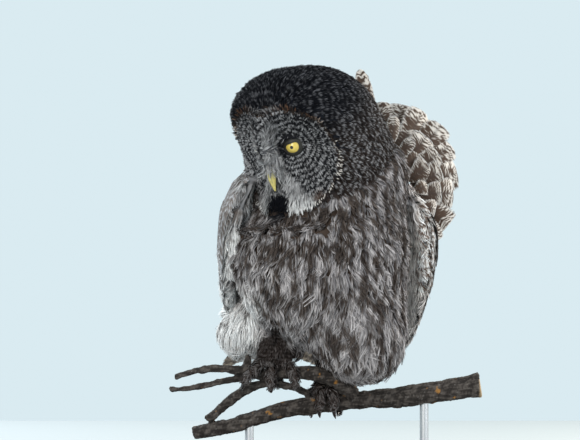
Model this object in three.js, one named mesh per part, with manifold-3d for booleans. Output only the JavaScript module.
// A life-size great grey owl perched on a cut length of branch, on a plain display stand.
// Millimetres, +Z up. The bird looks out along -Y, its left side is towards +X, and the origin is
// the middle of the underside of the stand's base.
import * as THREE from 'three';
import { mergeVertices } from 'three/addons/utils/BufferGeometryUtils.js';
import Module from 'manifold-3d';

const wasm = await Module();
wasm.setup();

// General sizes
const GAP = 0.3;
const HALF_GAP = GAP / 2;
const UP = new THREE.Vector3(0, 0, 1);

// Pose, in degrees. The breast is turned a little to the bird's left of -Y, the head far to its right.
const BODY_YAW = 12;
const HEAD_YAW = -40;
const HEAD_PITCH = 18;
const HEAD_CENTRE = [-16, -38, 471];

// Head sizes, along the face's own axes: forward, to the bird's left, and up
const HEAD_RADII = [101, 95, 93];
const DISC_AZIMUTH = 26;
const DISC_DISTANCE = 134;
const DISC_DROP = 9;
const DISC_RADII = [60, 103, 104];
const EYE_AZIMUTH = 23;
const EYE_DISTANCE = 66;
const EYE_HEIGHT = 7.6;
const EYE_RADIUS = 14;
const CORNEA_RADIUS = 9.6;
const CORNEA_SHIFT = 5.6;
const LID_THICKNESS = 2.4;
const UPPER_LID_ANGLE = 20;
const LOWER_LID_ANGLE = -34;

// Stand and perch
const BASE_LENGTH = 300;
const BASE_DEPTH = 250;
const BASE_THICKNESS = 18;
const BASE_CORNER = 26;
const ROD_RADIUS = 6;
const ROD_SOCKET = 9;
const ROD_PLACES = [-96, 140];
const ROD_SEARCH_STEPS = 200;

// A fixed run of numbers from -0.5 to 0.5, for feathers that vary as real ones do
const CYCLE = 2147483647;
const CYCLE_FACTOR = 16807;
let draws = 7;
function vary() {
  draws = (draws * CYCLE_FACTOR) % CYCLE;
  return draws / CYCLE - 0.5;
}

const radians = THREE.MathUtils.degToRad;
const vec = (x, y, z) => new THREE.Vector3(x, y, z);
const mix = (a, b, t) => a + (b - a) * t;

// Frames. A body point has the bird's left, back and up; a face point has forward, left and up.
const bodyTurn = new THREE.Quaternion().setFromAxisAngle(UP, radians(BODY_YAW));
const onBody = (left, back, up) => vec(left, back, up).applyQuaternion(bodyTurn);

const headCentre = vec(...HEAD_CENTRE);
const faceForward = vec(0, -1, 0)
  .applyAxisAngle(vec(1, 0, 0), radians(HEAD_PITCH))
  .applyAxisAngle(UP, radians(HEAD_YAW));
const faceLeft = vec(1, 0, 0).applyAxisAngle(UP, radians(HEAD_YAW));
const faceUp = vec(0, 0, 1)
  .applyAxisAngle(vec(1, 0, 0), radians(HEAD_PITCH))
  .applyAxisAngle(UP, radians(HEAD_YAW));
const faceTurn = new THREE.Quaternion().setFromRotationMatrix(
  new THREE.Matrix4().makeBasis(faceLeft, faceForward.clone().negate(), faceUp),
);

function onFace(forward, left, up) {
  return headCentre
    .clone()
    .addScaledVector(faceForward, forward)
    .addScaledVector(faceLeft, left)
    .addScaledVector(faceUp, up);
}

// Solids and meshes
function solidOf(geometry) {
  const bare = geometry.index ? geometry.clone() : mergeVertices(geometry);
  bare.deleteAttribute('normal');
  bare.deleteAttribute('uv');
  const merged = mergeVertices(bare, 1e-4);
  return new wasm.Manifold(
    new wasm.Mesh({
      numProp: 3,
      vertProperties: merged.attributes.position.array,
      triVerts: new Uint32Array(merged.index.array),
    }),
  );
}

function geometryOf(solid) {
  const mesh = solid.getMesh();
  const geometry = new THREE.BufferGeometry();
  geometry.setAttribute('position', new THREE.BufferAttribute(mesh.vertProperties, 3));
  geometry.setIndex(new THREE.BufferAttribute(mesh.triVerts, 1));
  return geometry;
}

function largest(solid) {
  const bodies = solid.decompose();
  return bodies.reduce((a, b) => (b.volume() > a.volume() ? b : a));
}

function joined(solids) {
  return solids.reduce((a, b) => a.add(b));
}

const TINY = 1e-6;

// Rounded masses. A mass is an ellipsoid, and a field is the smooth union of several.
function mass(centre, radii, turn = bodyTurn) {
  return { centre, radii: vec(...radii), untwist: turn.clone().invert() };
}

function massDistance({ centre, radii, untwist }, point) {
  const local = point.clone().sub(centre).applyQuaternion(untwist).divide(radii);
  const near = local.length();
  if (near < TINY) return -Math.min(radii.x, radii.y, radii.z);
  return (near * (near - 1)) / local.divide(radii).length();
}

function fieldOf(masses, blend) {
  return (point) => {
    let distance = massDistance(masses[0], point);
    for (const each of masses.slice(1)) {
      const other = massDistance(each, point);
      const share = Math.max(blend - Math.abs(distance - other), 0) / blend;
      distance = Math.min(distance, other) - (share * share * blend) / 4;
    }
    return distance;
  };
}

const BELLY_ROLL = 16;
const PLUMAGE_BLEND = 34;
const bellyTurn = bodyTurn
  .clone()
  .multiply(new THREE.Quaternion().setFromAxisAngle(vec(0, 1, 0), radians(BELLY_ROLL)));
const plumage = fieldOf(
  [
    mass(onBody(-3, -30, 322), [119, 100, 108]),
    mass(onBody(0, -14, 262), [113, 100, 80], bellyTurn),
    mass(onBody(0, 28, 352), [108, 92, 96]),
    mass(onBody(-4, 88, 244), [76, 84, 54]),
    mass(onBody(-82, 90, 208), [46, 56, 46]),
    mass(onBody(48, -50, 196), [60, 56, 60]),
    mass(vec(16, -6, 418), [106, 96, 80]),
    mass(onFace(0, 6, 0), [HEAD_RADII[1], HEAD_RADII[0], HEAD_RADII[2]], faceTurn),
    mass(onFace(24, -39, 43), [53, 55, 49], faceTurn),
    mass(onFace(20, 28, 37), [50, 54, 50], faceTurn),
  ],
  PLUMAGE_BLEND,
);

// A closed skin on a field, seen from a centre: each point of a sphere moves out to where the field
// ends. It strides out until it is outside, then halves the last stride again and again.
const SKIN_REACH = 420;
const SKIN_STRIDE = 5;
const HALVINGS = 14;

function wrap({ field, centre, pole, rings, segments, grow = 0, crowd = 1 }) {
  const geometry = new THREE.SphereGeometry(1, segments, rings);
  const turn = new THREE.Quaternion().setFromUnitVectors(vec(0, 1, 0), pole.clone().normalize());
  const spots = geometry.attributes.position;
  for (let i = 0; i < spots.count; i++) {
    const direction = new THREE.Vector3().fromBufferAttribute(spots, i);
    const polar = Math.acos(THREE.MathUtils.clamp(direction.y, -1, 1));
    const crowded = Math.PI * Math.pow(polar / Math.PI, crowd);
    const wide = Math.sin(polar) > TINY ? Math.sin(crowded) / Math.sin(polar) : 0;
    direction.set(direction.x * wide, Math.cos(crowded), direction.z * wide).applyQuaternion(turn);
    let inside = 0;
    let outside = SKIN_STRIDE;
    while (outside < SKIN_REACH && field(centre.clone().addScaledVector(direction, outside)) < grow) {
      inside = outside;
      outside += SKIN_STRIDE;
    }
    for (let round = 0; round < HALVINGS; round++) {
      const middle = (inside + outside) / 2;
      if (field(centre.clone().addScaledVector(direction, middle)) < grow) inside = middle;
      else outside = middle;
    }
    const place = centre.clone().addScaledVector(direction, (inside + outside) / 2);
    spots.setXYZ(i, place.x, place.y, place.z);
  }
  return solidOf(geometry);
}

// The part of a solid on the side of a plane that the normal points to, clear of it by half a gap.
function above(solid, normal, point) {
  const unit = normal.clone().normalize();
  return solid.trimByPlane(unit.toArray(), unit.dot(point) + HALF_GAP);
}

function below(solid, normal, point) {
  return above(solid, normal.clone().negate(), point);
}

// A round or oval bar along a curve. size(t) gives its half width and half depth.
function sweep({ curve, from = 0, to = 1, steps, sides, size, across = vec(0, 1, 0) }) {
  const geometry = new THREE.CylinderGeometry(1, 1, 1, sides, steps);
  const spots = geometry.attributes.position;
  for (let i = 0; i < spots.count; i++) {
    const t = mix(from, to, spots.getY(i) + 0.5);
    const along = curve.getTangent(t);
    const side = across.clone().addScaledVector(along, -across.dot(along)).normalize();
    const depth = side.clone().cross(along);
    const [wide, deep] = size(t);
    const place = curve
      .getPoint(t)
      .addScaledVector(side, spots.getX(i) * wide)
      .addScaledVector(depth, spots.getZ(i) * deep);
    spots.setXYZ(i, place.x, place.y, place.z);
  }
  return solidOf(geometry);
}

const through = (...points) => new THREE.CatmullRomCurve3(points, false, 'centripetal');

// A size that follows a list of values spread evenly along a curve.
function along(values, t) {
  const place = THREE.MathUtils.clamp(t, 0, 1) * (values.length - 1);
  const step = Math.min(Math.floor(place), values.length - 2);
  return mix(values[step], values[step + 1], place - step);
}

// A closed sheet. Its outer face is surface(u, v), and the inner face lies the thickness within.
function sheet({ surface, outward, thickness, columns, rows }) {
  const places = [];
  for (const layer of [0, 1]) {
    for (let r = 0; r <= rows; r++) {
      for (let c = 0; c <= columns; c++) {
        const u = c / columns;
        const v = r / rows;
        places.push(...surface(u, v).addScaledVector(outward, -layer * thickness(u, v)).toArray());
      }
    }
  }
  const width = columns + 1;
  const layerSize = width * (rows + 1);
  const faces = [];
  for (let r = 0; r < rows; r++) {
    for (let c = 0; c < columns; c++) {
      const a = r * width + c;
      const d = a + width;
      faces.push(a, a + 1, d + 1, a, d + 1, d);
      faces.push(layerSize + a, layerSize + d + 1, layerSize + a + 1);
      faces.push(layerSize + a, layerSize + d, layerSize + d + 1);
    }
  }
  const wall = (a, b) => faces.push(a, layerSize + a, layerSize + b, a, layerSize + b, b);
  for (let c = 0; c < columns; c++) {
    wall(c, c + 1);
    wall(rows * width + c + 1, rows * width + c);
  }
  for (let r = 0; r < rows; r++) {
    wall((r + 1) * width, r * width);
    wall(r * width + columns, (r + 1) * width + columns);
  }
  const geometry = new THREE.BufferGeometry();
  geometry.setAttribute('position', new THREE.Float32BufferAttribute(places, 3));
  geometry.setIndex(faces);
  return facingOut(geometry);
}

// One feather's vane along path(s), s from its root at 0 to its tip at 1. A roll lifts one edge.
const VANE_STATIONS = [0, 0.5, 0.88, 1];
const VANE_PROFILE = [0.55, 1, 0.86, 0.26];
const VANE_THICKNESS = 0.9;

function vane({ path, side, outward, width, roll = 0, thickness = VANE_THICKNESS }) {
  const slope = Math.tan(radians(roll));
  return sheet({
    surface: (u, v) => {
      const s = along(VANE_STATIONS, v);
      const offset = (u - 0.5) * width(s) * along(VANE_PROFILE, v);
      return path(s).addScaledVector(side(s), offset).addScaledVector(outward, offset * slope);
    },
    outward,
    thickness: (u, v) => thickness * (1 - 0.45 * v),
    columns: 1,
    rows: VANE_STATIONS.length - 1,
  });
}

// The solid of a closed mesh, turned right side out if its faces point in.
function facingOut(geometry) {
  const solid = solidOf(geometry);
  if (solid.volume() > 0) return solid;
  const index = geometry.index.array;
  for (let i = 0; i < index.length; i += 3) [index[i], index[i + 1]] = [index[i + 1], index[i]];
  return solidOf(geometry);
}

// Torso, neck and head, each wrapped on the same field and parted by thin plane cuts
const neckNormal = faceUp;
const neckPlace = onFace(0, 0, -97);
const torsoNormal = onBody(0, -0.32, 1);
const torsoPlace = onBody(0, 0, 336);
const torsoCentre = onBody(0, 0, 262);
const torsoShape = { field: plumage, centre: torsoCentre, pole: UP, rings: 20, segments: 32 };

const torsoBody = below(wrap(torsoShape), torsoNormal, torsoPlace);

const neckShape = { field: plumage, centre: vec(8, -4, 390), pole: UP, rings: 18, segments: 32 };
const neckBody = above(below(wrap(neckShape), neckNormal, neckPlace), torsoNormal, torsoPlace);

const headShape = {
  field: plumage,
  centre: headCentre,
  pole: faceForward,
  rings: 20,
  segments: 28,
  crowd: 1.2,
};

// All that the coat of the torso, neck and head fills, with the gap that touching nodes keep
const coatRoom = joined([torsoShape, neckShape, headShape].map((shape) => wrap({ ...shape, grow: GAP })));

function eyePlace(side, distance = EYE_DISTANCE) {
  const turn = radians(EYE_AZIMUTH);
  return onFace(distance * Math.cos(turn), side * distance * Math.sin(turn), EYE_HEIGHT);
}

function eyeAxis(side) {
  return eyePlace(side, EYE_DISTANCE + 1).sub(eyePlace(side));
}

function ball(centre, radius, segments, rings) {
  return solidOf(new THREE.SphereGeometry(radius, segments, rings).translate(...centre.toArray()));
}

function eyeball(side, grow = 0) {
  const centre = eyePlace(side);
  const cornea = centre.clone().addScaledVector(eyeAxis(side), CORNEA_SHIFT);
  return ball(centre, EYE_RADIUS + grow, 14, 8).add(ball(cornea, CORNEA_RADIUS + grow, 14, 7));
}

// A lid is the part of a thin shell round the eyeball above or below a plane through its centre.
function lid(side, angle) {
  const shell = ball(eyePlace(side), EYE_RADIUS + LID_THICKNESS, 14, 8);
  const axis = eyeAxis(side);
  const tilt = radians(angle);
  const normal = faceUp.clone().multiplyScalar(Math.cos(tilt)).addScaledVector(axis, -Math.sin(tilt));
  return angle > 0 ? above(shell, normal, eyePlace(side)) : below(shell, normal, eyePlace(side));
}

// Each half of the facial disc is a shallow oval bowl.
function discBowl(side) {
  const turn = radians(DISC_AZIMUTH) * side;
  const bowl = new THREE.SphereGeometry(1, 22, 13).scale(DISC_RADII[1], DISC_RADII[0], DISC_RADII[2]);
  const centre = onFace(DISC_DISTANCE * Math.cos(turn), DISC_DISTANCE * Math.sin(turn), -DISC_DROP);
  bowl.applyMatrix4(new THREE.Matrix4().makeRotationZ(turn));
  bowl.applyMatrix4(new THREE.Matrix4().compose(centre, faceTurn, vec(1, 1, 1)));
  return solidOf(bowl);
}

// The hollow below the brow that the bill stands in
function billHollow() {
  const hollow = new THREE.SphereGeometry(1, 16, 10).scale(36, 33, 40);
  hollow.applyMatrix4(new THREE.Matrix4().compose(onFace(114, 0, -48), faceTurn, vec(1, 1, 1)));
  return solidOf(hollow);
}

function bridge() {
  return sweep({
    curve: through(
      onFace(80, 0, 54), onFace(91, 0, 30), onFace(95, 0, 10), onFace(92, 0, -4), onFace(82, 0, -15),
    ),
    steps: 8,
    sides: 10,
    size: (t) => [along([22, 13, 11, 11, 11], t), along([20, 12, 11, 9, 8], t)],
    across: faceLeft,
  });
}

function upperBill(grow = 0) {
  return sweep({
    curve: through(
      onFace(70, 0, -10), onFace(81, 0, -13), onFace(88, 0, -23), onFace(89, 0, -35), onFace(88, 0, -50),
    ),
    steps: 9,
    sides: 10,
    size: (t) => [along([8, 8.5, 7.5, 5, 1.2], t) + grow, along([9, 10, 8, 5.4, 1.2], t) + grow],
    across: faceLeft,
  });
}

function lowerBill(grow = 0) {
  return sweep({
    curve: through(onFace(68, 0, -34), onFace(79, 0, -39), onFace(86, 0, -44)),
    steps: 5,
    sides: 8,
    size: (t) => [along([7, 6, 2.4], t) + grow, along([4.4, 3.6, 1.6], t) + grow],
    across: faceLeft,
  });
}

function nostrils() {
  return [-1, 1].map((side) => ball(onFace(90, side * 7.4, -19), 2.2, 8, 6));
}

function headBody() {
  let head = above(wrap(headShape), neckNormal, neckPlace);
  for (const side of [-1, 1]) head = head.subtract(discBowl(side));
  head = head.subtract(billHollow()).add(bridge());
  for (const side of [-1, 1]) {
    head = head.add(lid(side, UPPER_LID_ANGLE)).add(lid(side, LOWER_LID_ANGLE));
    head = head.subtract(eyeball(side, GAP));
  }
  return head.subtract(upperBill(GAP)).subtract(lowerBill(GAP));
}

function upperBillBody() {
  return nostrils().reduce((bill, hole) => bill.subtract(hole), upperBill()).subtract(lowerBill(GAP));
}

// Perch: the main limb and two forks, each a knotty bar along its own line
const KNOT_SWELL = 0.07;
const KNOT_RIPPLE = 0.05;
const KNOT_RIPPLE_RATE = 17;
const LIMB_FLATNESS = 0.94;

function limb({ line, radii, grow = 0, steps, sides, knots }) {
  return sweep({
    curve: through(...line.map((p) => vec(...p))),
    steps,
    sides,
    size: (t) => {
      const swell = KNOT_SWELL * Math.sin(knots * t * Math.PI * 2);
      const ripple = KNOT_RIPPLE * Math.sin(knots * t * KNOT_RIPPLE_RATE);
      const radius = along(radii, t) * (1 + swell + ripple) + grow;
      return [radius, radius * LIMB_FLATNESS];
    },
    across: vec(0, 1, 0),
  });
}

const mainLimb = {
  line: [
    [-172, 22, 69], [-108, 16, 82], [-54, 12, 100], [0, 8, 109],
    [54, 4, 115], [108, 0, 119], [162, -4, 127], [216, -8, 136],
  ],
  radii: [9.6, 11, 13, 12.6, 14, 14.6, 16.4, 18.6],
  steps: 20,
  sides: 10,
  knots: 3,
};
const upperFork = {
  line: [
    [46, -6, 122], [27, -14, 138], [0, -18, 150], [-27, -14, 153], [-81, -10, 150],
    [-108, -8, 155], [-135, -8, 158], [-162, -10, 156], [-196, -12, 146],
  ],
  radii: [12, 12, 11.6, 9.6, 8.4, 8, 6, 5.2, 5.2],
  steps: 18,
  sides: 8,
  knots: 4,
};
const lowerFork = {
  line: [
    [-14, 2, 122], [-40, -6, 134], [-70, -4, 137.5],
    [-94, 2, 132], [-124, 8, 112], [-152, 14, 86],
  ],
  radii: [5.4, 5.4, 6, 7.4, 8, 7],
  steps: 12,
  sides: 8,
  knots: 2,
};
const sideTwig = {
  line: [[-104, 0, 145], [-128, -2, 141], [-150, -4, 136], [-176, -4, 131], [-202, -6, 129]],
  radii: [6, 5.2, 4.8, 4.6, 4.2],
  steps: 7,
  sides: 7,
  knots: 2,
};
const stub = {
  line: [[-99, -4, 156], [-98, -3, 166], [-97, -1, 176]],
  radii: [7.5, 6.6, 5.4],
  steps: 3,
  sides: 7,
  knots: 1,
};

function rodTop(x) {
  const curve = through(...mainLimb.line.map((p) => vec(...p)));
  const away = (place) => Math.abs(place.x - x);
  return curve.getPoints(ROD_SEARCH_STEPS).reduce((best, place) => (away(place) < away(best) ? place : best));
}

function rod(x, grow = 0) {
  const top = rodTop(x);
  const low = BASE_THICKNESS + GAP;
  const high = top.z - ROD_SOCKET / 2 + grow;
  const bar = new THREE.CylinderGeometry(ROD_RADIUS + grow, ROD_RADIUS + grow, high - low, 24);
  return solidOf(bar.rotateX(Math.PI / 2).translate(top.x, top.y, (low + high) / 2));
}

function mainLimbBody() {
  return ROD_PLACES.reduce((wood, x) => wood.subtract(rod(x, GAP)), limb(mainLimb));
}

function upperForkBody() {
  const wood = limb(upperFork).add(limb(sideTwig)).add(limb(stub));
  return largest(wood.subtract(limb({ ...mainLimb, grow: GAP })));
}

function lowerForkBody() {
  const room = limb({ ...mainLimb, grow: GAP })
    .add(limb({ ...upperFork, grow: GAP }))
    .add(limb({ ...sideTwig, grow: GAP }));
  return largest(limb(lowerFork).subtract(room));
}

function baseBody() {
  const outline = new THREE.Shape();
  const x = BASE_LENGTH / 2 - BASE_CORNER;
  const y = BASE_DEPTH / 2 - BASE_CORNER;
  outline.absarc(x, y, BASE_CORNER, 0, Math.PI / 2);
  outline.absarc(-x, y, BASE_CORNER, Math.PI / 2, Math.PI);
  outline.absarc(-x, -y, BASE_CORNER, Math.PI, 1.5 * Math.PI);
  outline.absarc(x, -y, BASE_CORNER, 1.5 * Math.PI, 2 * Math.PI);
  const slab = { depth: BASE_THICKNESS, curveSegments: 8, bevelEnabled: false };
  return solidOf(new THREE.ExtrudeGeometry(outline, slab));
}

// Legs and feet. Each toe bends over its limb and ends in a claw that follows the same line.
const perchParts = [mainLimb, upperFork, lowerFork, sideTwig, stub];
const perchRoom = joined(perchParts.map((each) => limb({ ...each, grow: GAP })));

const feet = {
  right: {
    knee: vec(-42, 6, 240),
    ankle: vec(-56, 4, 172),
    palm: vec(-58, 2, 166),
    shank: [23, 27, 32],
    toes: [
      [[-58, 2, 167], [-44, -16, 164], [-36, -28, 154], [-34, -28, 142], [-33, -20, 132], [-33, -11, 129]],
      [[-58, 2, 167], [-64, -16, 165], [-66, -28, 154], [-66, -28, 140], [-66, -20, 129], [-66, -11, 125]],
      [[-58, 2, 167], [-76, -12, 168], [-88, -25, 158], [-98, -25, 146], [-104, -22, 135], [-106, -15, 127]],
      [[-58, 2, 167], [-58, 16, 164], [-57, 23, 152], [-57, 21, 140], [-57, 13, 131], [-57, 4, 130]],
    ],
  },
  left: {
    knee: onBody(34, 26, 214),
    ankle: vec(8, 28, 142),
    palm: vec(6, 22, 131),
    shank: [27, 22, 17],
    toes: [
      [[6, 22, 131], [14, 8, 132], [17, -8, 126], [18, -16, 112], [19, -13, 98], [21, -4, 90]],
      [[6, 22, 131], [2, 8, 132], [0, -8, 126], [-1, -14, 112], [-1, -11, 98], [0, -2, 91]],
      [[6, 22, 131], [20, 26, 128], [24, 30, 116], [25, 27, 104], [24, 18, 95], [24, 9, 93]],
      [[6, 22, 131], [-8, 27, 127], [-12, 32, 114], [-13, 30, 102], [-12, 22, 93], [-12, 13, 90]],
    ],
  },
};
const TOE_END = 0.74;
const TOE_RADII = [8.5, 7, 7, 6.3, 4.7];
const CLAW_RADII = [3.1, 2.5, 1.6, 0.5];

const toeCurve = (line) => through(...line.map((p) => vec(...p)));

function toe(line) {
  return sweep({
    curve: toeCurve(line),
    to: TOE_END,
    steps: 6,
    sides: 7,
    size: (t) => {
      const radius = along(TOE_RADII, t / TOE_END);
      return [radius, radius];
    },
    across: vec(1, 0, 0),
  });
}

function claw(line) {
  const start = TOE_END + GAP / toeCurve(line).getLength();
  return sweep({
    curve: toeCurve(line),
    from: start,
    steps: 4,
    sides: 6,
    size: (t) => {
      const radius = along(CLAW_RADII, (t - start) / (1 - start));
      return [radius, radius];
    },
    across: vec(1, 0, 0),
  });
}

function footBody({ palm, ankle, toes }) {
  const heel = sweep({
    curve: through(palm.clone().setZ(palm.z - 6), palm, ankle.clone().setZ(ankle.z + 6)),
    steps: 3,
    sides: 10,
    size: (t) => [along([12, 13, 12], t), along([11, 12, 11], t)],
    across: vec(1, 0, 0),
  });
  return largest(below(joined([heel, ...toes.map(toe)]), UP, ankle).subtract(perchRoom));
}

function legBody({ knee, ankle, shank }) {
  const hem = ankle.clone().add(ankle.clone().sub(knee).setLength(8));
  const shape = sweep({
    curve: through(knee, knee.clone().lerp(hem, 0.5), hem),
    steps: 5,
    sides: 14,
    size: (t) => [along(shank, t), along(shank, t) * 0.95],
    across: vec(1, 0, 0),
  });
  return largest(above(shape, UP, ankle).subtract(coatRoom).subtract(perchRoom));
}

// Wings. The front edge runs from the wrist down to the wing tip, the back edge from the shoulder.
const bodyLine = (points) => through(...points.map((p) => onBody(...p)));
const wings = {
  right: {
    front: bodyLine([
      [-110, -40, 408], [-131, -36, 356], [-132, -12, 302], [-121, 48, 250], [-86, 146, 212], [-52, 226, 202],
    ]),
    back: bodyLine([
      [-44, 80, 440], [-38, 110, 400], [-34, 126, 350], [-32, 146, 296], [-28, 184, 250], [-22, 238, 218],
    ]),
    outward: onBody(-0.84, 0.52, 0.12).normalize(),
    bulge: [22, 31, 33, 26, 12, 3],
    depth: [22, 20, 18, 13, 9, 6],
  },
  left: {
    front: bodyLine([
      [112, -18, 408], [150, -6, 356], [161, 24, 300], [160, 66, 246], [150, 132, 184], [118, 206, 158],
    ]),
    back: bodyLine([
      [48, 82, 440], [52, 114, 400], [58, 136, 350], [64, 160, 290], [70, 200, 236], [72, 238, 196],
    ]),
    outward: onBody(0.84, 0.52, 0.12).normalize(),
    bulge: [22, 30, 30, 24, 14, 4],
    depth: [30, 34, 26, 16, 9, 6],
  },
};
const WING_CORE_END = 0.8;
const CORE_SINK = 3;

// Tiers of a wing, from the wing tip up to the shoulder. Each holds the span across the wing, where
// its vanes start, and where the first and last of them end.
const WING_TIERS = {
  primaries: { count: 6, across: [0.04, 0.4], root: 0.55, tips: [0.9, 1], lift: 0, roll: 13 },
  secondaries: { count: 7, across: [0.44, 0.96], root: 0.47, tips: [0.98, 0.78], lift: 2, roll: 11 },
  greaterCoverts: { count: 7, across: [0.06, 0.94], root: 0.3, tips: [0.7, 0.58], lift: 5, roll: 8 },
  medianCoverts: { count: 5, across: [0.12, 0.88], root: 0.12, tips: [0.46, 0.4], lift: 8, roll: 8 },
};
const VANE_OVERLAP = 1.75;
const TIP_VARIATION = 0.03;
const WIDTH_VARIATION = 0.12;
const ROOT_SINK = 4;
const SIDE_STEP = 0.02;

function wingSurface({ front, back, outward, bulge }) {
  return (u, v) => {
    const rise = along(bulge, v) * Math.sin(Math.PI * u);
    return front.getPoint(v).lerp(back.getPoint(v), u).addScaledVector(outward, rise);
  };
}

function tierVanes(wing, tier) {
  const surface = wingSurface(wing);
  const spread = (tier.across[1] - tier.across[0]) / (tier.count - 1);
  return Array.from({ length: tier.count }, (_, i) => {
    const share = i / (tier.count - 1);
    const u = mix(...tier.across, share);
    const end = Math.min(1, mix(...tier.tips, share) + TIP_VARIATION * vary());
    const breadth = spread * VANE_OVERLAP * (1 + WIDTH_VARIATION * vary());
    const v = (s) => mix(tier.root, end, s);
    const sideways = (s) => surface(u + SIDE_STEP, v(s)).sub(surface(u - SIDE_STEP, v(s)));
    return vane({
      path: (s) => {
        const lift = mix(-ROOT_SINK, tier.lift, Math.min(1, s * 2));
        return surface(u, v(s)).addScaledVector(wing.outward, lift);
      },
      side: (s) => sideways(s).normalize(),
      outward: wing.outward,
      width: (s) => (sideways(s).length() / (2 * SIDE_STEP)) * breadth,
      roll: tier.roll,
    });
  });
}

function wingBody(wing) {
  const surface = wingSurface(wing);
  const core = sheet({
    surface: (u, v) => surface(u, v * WING_CORE_END).addScaledVector(wing.outward, -CORE_SINK),
    outward: wing.outward,
    thickness: (u, v) => along(wing.depth, v * WING_CORE_END) * (0.45 + 0.55 * Math.sin(Math.PI * u)),
    columns: 5,
    rows: 8,
  });
  const vanes = Object.values(WING_TIERS).flatMap((tier) => tierVanes(wing, tier));
  return largest(joined([core, ...vanes]).subtract(coatRoom));
}

// Scapulars. On the left they stand up in a fan behind the shoulder, on the right they lie flat.
const fanRoots = through(vec(84, 78, 446), vec(104, 76, 430), vec(122, 70, 404), vec(132, 62, 376));
const fanOutward = vec(0.15, -1, 0).normalize();
const FAN_TIERS = [
  {
    tips: [
      [54, 108, 566], [84, 112, 520], [112, 114, 520], [140, 110, 512], [166, 106, 490], [184, 100, 458],
      [190, 94, 424], [185, 84, 392], [177, 74, 352], [159, 62, 330],
    ],
    roots: [0, 1],
    width: 34,
    lift: 0,
  },
  {
    tips: [[104, 88, 500], [134, 88, 486], [158, 84, 462], [168, 78, 434], [168, 70, 404], [160, 58, 372]],
    roots: [0.12, 0.95],
    width: 31,
    lift: 6,
  },
  { tips: [[126, 70, 468], [146, 68, 444], [150, 60, 410]], roots: [0.25, 0.75], width: 30, lift: 11 },
];
const FAN_ROLL = 9;
const FAN_BOW = 5;

function fanBody() {
  const pad = sweep({
    curve: fanRoots,
    steps: 6,
    sides: 10,
    size: (t) => [along([8, 15, 15, 8], t), along([12, 20, 20, 10], t)],
    across: fanOutward,
  });
  const vanes = FAN_TIERS.flatMap(({ tips, roots, width, lift }) =>
    tips.map((tip, i) => {
      const root = fanRoots.getPoint(mix(...roots, i / (tips.length - 1))).addScaledVector(fanOutward, lift);
      const end = vec(...tip);
      const side = end.clone().sub(root).cross(fanOutward).normalize();
      return vane({
        path: (s) => root.clone().lerp(end, s).addScaledVector(fanOutward, FAN_BOW * Math.sin(Math.PI * s)),
        side: () => side,
        outward: fanOutward,
        width: (s) => width * (0.55 + 0.45 * s),
        roll: FAN_ROLL,
      });
    }),
  );
  return largest(joined([pad, ...vanes]).subtract(coatRoom).subtract(wingRoom));
}

// Tail. Its twelve feathers lie like a low roof, the middle pair on top.
const tailRoots = bodyLine([[-40, 132, 224], [0, 134, 238], [36, 132, 226]]);
const tailTips = bodyLine([[-70, 298, 154], [-38, 314, 161], [0, 322, 164], [36, 314, 161], [62, 298, 154]]);
const TAIL_FEATHERS = 12;
const TAIL_WIDTH = 30;
const TAIL_STEP = 1.9;
const TAIL_ROLL = 5;
const TAIL_BOW = 6;
const TAIL_CORE = 0.4;

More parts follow.
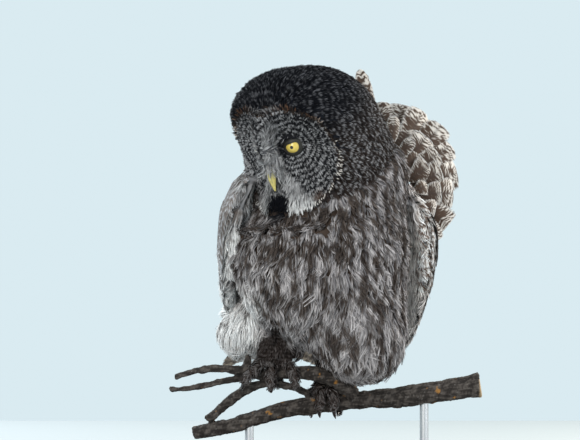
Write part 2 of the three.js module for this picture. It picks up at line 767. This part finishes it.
function tailBody() {
  const core = sheet({
    surface: (u, v) => tailRoots.getPoint(u).lerp(tailTips.getPoint(u), v * TAIL_CORE),
    outward: UP,
    thickness: (u, v) => mix(30, 6, v),
    columns: 6,
    rows: 4,
  });
  const vanes = Array.from({ length: TAIL_FEATHERS }, (_, i) => {
    const share = i / (TAIL_FEATHERS - 1);
    const fromMiddle = Math.abs(i - (TAIL_FEATHERS - 1) / 2);
    const lift = -TAIL_STEP * fromMiddle;
    const root = tailRoots.getPoint(share);
    const tip = tailTips.getPoint(share).addScaledVector(UP, lift);
    root.addScaledVector(UP, lift - ROOT_SINK);
    const side = onBody(1, 0, 0);
    return vane({
      path: (s) => root.clone().lerp(tip, s).addScaledVector(UP, TAIL_BOW * Math.sin(Math.PI * s)),
      side: () => side,
      outward: UP,
      width: (s) => TAIL_WIDTH * (0.6 + 0.4 * s),
      roll: TAIL_ROLL * Math.sign((TAIL_FEATHERS - 1) / 2 - i),
    });
  });
  return largest(joined([core, ...vanes]).subtract(coatRoom).subtract(wingRoom));
}

// Materials
const finish = (color, roughness, metalness = 0) =>
  new THREE.MeshStandardMaterial({ color, roughness, metalness });
const materials = {
  plumage: finish(0x6b6460, 0.95),
  wing: finish(0x7a6a5c, 0.9),
  bill: finish(0xc9b84e, 0.45),
  eye: finish(0xe0b62a, 0.1),
  claw: finish(0x1c1a1c, 0.35),
  bark: finish(0x54463c, 0.95),
  base: finish(0x2a2624, 0.5),
  rod: finish(0x8a8a8c, 0.35, 1),
};

const wingSolids = { left: wingBody(wings.left), right: wingBody(wings.right) };
const wingRoom = wingSolids.left.add(wingSolids.right);

const owl = new THREE.Group();
function place(name, solid, material) {
  const mesh = new THREE.Mesh(geometryOf(solid), materials[material]);
  mesh.name = name;
  owl.add(mesh);
}

place('torso', torsoBody, 'plumage');
place('neck', neckBody, 'plumage');
place('head', headBody(), 'plumage');
place('bill_upper', upperBillBody(), 'bill');
place('bill_lower', lowerBill(), 'bill');
for (const [name, side] of [['left', 1], ['right', -1]]) {
  place(`eye_${name}`, eyeball(side), 'eye');
  place(`leg_${name}`, legBody(feet[name]), 'plumage');
  place(`foot_${name}`, footBody(feet[name]), 'plumage');
  feet[name].toes.forEach((line, i) => {
    place(`claw_${name}_${i + 1}`, largest(claw(line).subtract(perchRoom)), 'claw');
  });
  place(`wing_${name}`, wingSolids[name], 'wing');
}
place('scapulars_left', fanBody(), 'wing');
place('tail', tailBody(), 'wing');
place('perch_limb', mainLimbBody(), 'bark');
place('perch_upper_fork', upperForkBody(), 'bark');
place('perch_lower_fork', lowerForkBody(), 'bark');
place('stand_base', baseBody(), 'base');
ROD_PLACES.forEach((x, i) => place(`stand_rod_${i + 1}`, rod(x), 'rod'));

export default owl;
